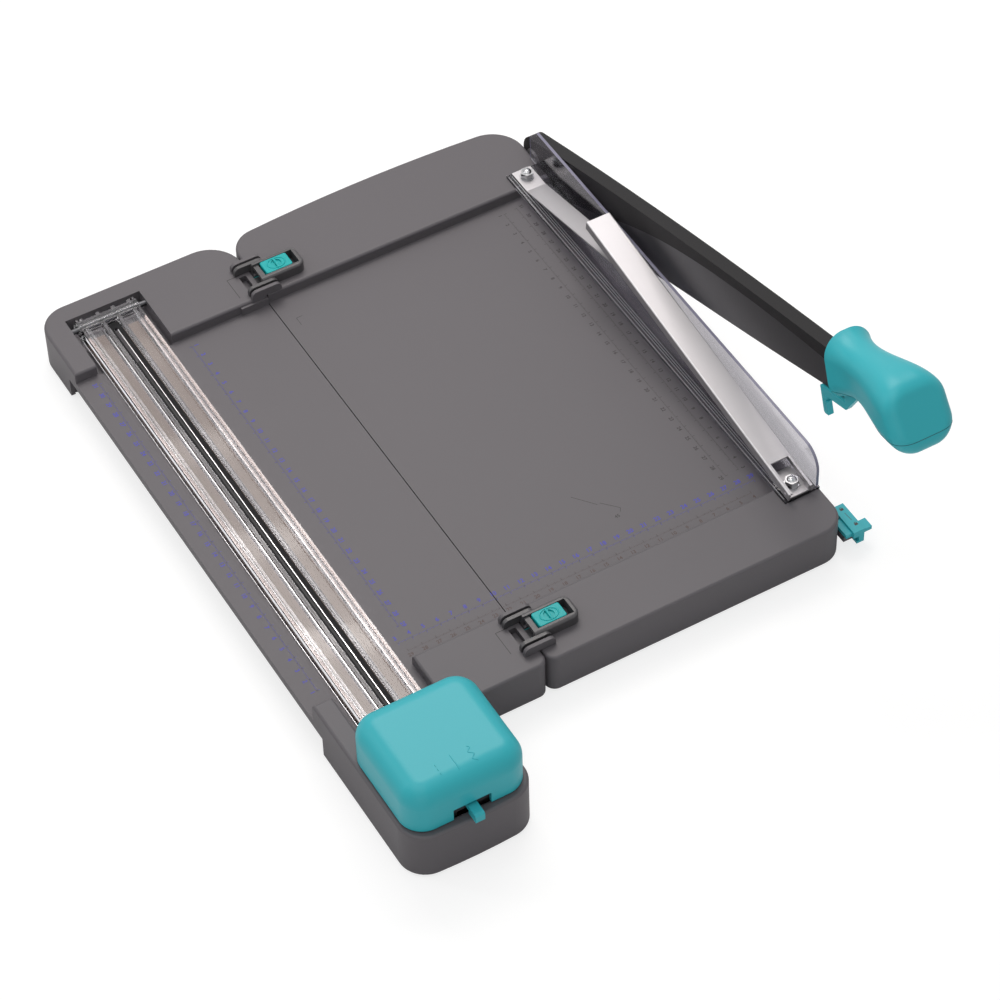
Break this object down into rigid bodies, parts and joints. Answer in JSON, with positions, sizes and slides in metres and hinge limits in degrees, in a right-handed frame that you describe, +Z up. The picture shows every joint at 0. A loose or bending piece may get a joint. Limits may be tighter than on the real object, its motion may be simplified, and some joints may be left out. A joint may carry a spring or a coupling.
{
  "type": "paper cutter",
  "caption": "Sliding paper trimmer with a clear rail and rounded cutting head, docked beside a lever guillotine with hand clamp, clear guard and grip handle.",
  "frame": {"origin": "on the table, at the sole of the front rubber foot, under the trimmer's cut line", "axes": "+X from the trimmer towards the lever, +Y along the cut from front to back, +Z up"},
  "size_m": [0.3913, 0.5205, 0.1913],
  "materials": {
    "board_grey": "satin",
    "dark_plastic": "matte",
    "teal": "satin",
    "bright_teal": "gloss",
    "rubber": "matte",
    "cutting_mat": "matte",
    "clear": "clear",
    "frosted": "frosted",
    "steel": "satin",
    "bright_steel": "polished",
    "blade_steel": "satin",
    "turret_plastic": "matte",
    "arm_black": "painted satin"
  },
  "bodies": {
    "boards": {"left_base": "board_grey", "right_base": "board_grey", "left_feet": "rubber", "right_feet": "rubber", "cutting_strip": "cutting_mat", "rail_hinge_pin": "steel", "front_latch_housing": "board_grey", "rear_latch_housing": "board_grey", "front_latch_keeper": "dark_plastic", "rear_latch_keeper": "dark_plastic", "ledger_blade": "blade_steel", "ledger_screws": "steel", "safety_guard": "clear", "clamp_bracket": "steel", "clamp_rivets": "steel", "clamp_bolts": "steel", "clamp_nuts": "bright_steel", "clamp_washers": "bright_steel", "spring_strip": "steel", "pivot_washer": "steel", "spring_washer": "steel", "pivot_bolt": "steel", "lock_bracket": "board_grey"},
    "rail": {"trimmer_rail": "clear", "grip_strips": "frosted"},
    "head": {"head_cover": "teal", "carriage": "dark_plastic", "cover_screws": "steel", "turret_axle": "steel"},
    "selector": {"selector_tab": "teal"},
    "turret": {"blade_turret": "turret_plastic", "wheel_pins": "steel"},
    "straight_cutter": {"straight_wheel": "blade_steel"},
    "perforating_cutter": {"perforating_wheel": "blade_steel"},
    "wavy_cutter": {"wavy_wheel": "blade_steel"},
    "rear_latch": {"rear_latch_button": "bright_teal"},
    "front_latch": {"front_latch_button": "bright_teal"},
    "clamp": {"press_plate": "steel"},
    "arm": {"cutter_arm": "arm_black", "arm_blade": "blade_steel", "blade_screws": "steel", "handle_upper": "teal", "handle_lower": "teal", "handle_screws": "steel"},
    "lock": {"lock_slider": "teal"}
  },
  "joints": [
    {"name": "rail_lift", "type": "hinge", "parent": "boards", "child": "rail", "pos_m": [0, 0.434, 0.029], "axis": [-1, 0, 0], "range_deg": [0, 12]},
    {"name": "head_slide", "type": "slide", "parent": "rail", "child": "head", "axis": [0, 1, 0], "range_m": [0, 0.4]},
    {"name": "selector_slide", "type": "slide", "parent": "head", "child": "selector", "axis": [1, 0, 0], "range_m": [-0.008, 0.008]},
    {"name": "turret_turn", "type": "hinge", "parent": "head", "child": "turret", "pos_m": [0, -0.012, 0.0441], "axis": [1, 0, 0], "range_deg": [-121, 121]},
    {"name": "straight_spin", "type": "hinge", "parent": "turret", "child": "straight_cutter", "pos_m": [0, -0.012, 0.0321], "axis": [1, 0, 0], "continuous": true},
    {"name": "perforating_spin", "type": "hinge", "parent": "turret", "child": "perforating_cutter", "pos_m": [0, -0.00161, 0.0501], "axis": [1, 0, 0], "continuous": true},
    {"name": "wavy_spin", "type": "hinge", "parent": "turret", "child": "wavy_cutter", "pos_m": [0, -0.02239, 0.0501], "axis": [1, 0, 0], "continuous": true},
    {"name": "rear_latch_slide", "type": "slide", "parent": "boards", "child": "rear_latch", "axis": [1, 0, 0], "range_m": [0, 0.004]},
    {"name": "front_latch_slide", "type": "slide", "parent": "boards", "child": "front_latch", "axis": [1, 0, 0], "range_m": [0, 0.004]},
    {"name": "clamp_press", "type": "hinge", "parent": "boards", "child": "clamp", "pos_m": [0.3027, 0.064, 0.037], "axis": [-1, 0, 0], "range_deg": [0, 7.8], "stiffness_Nm_per_rad": 2, "springref_deg": -6.88, "deforming": ["spring_strip"]},
    {"name": "arm_swing", "type": "hinge", "parent": "boards", "child": "arm", "pos_m": [0.3225, 0.418, 0.028], "axis": [-1, 0, 0], "range_deg": [-15.7, 35]},
    {"name": "lock_slide", "type": "slide", "parent": "boards", "child": "lock", "axis": [0, 1, 0], "range_m": [0, 0.012]}
  ],
  "couplings": [
    {"joint": "turret_turn", "follows": "selector_slide", "rad_per_m": 261.8}
  ]
}
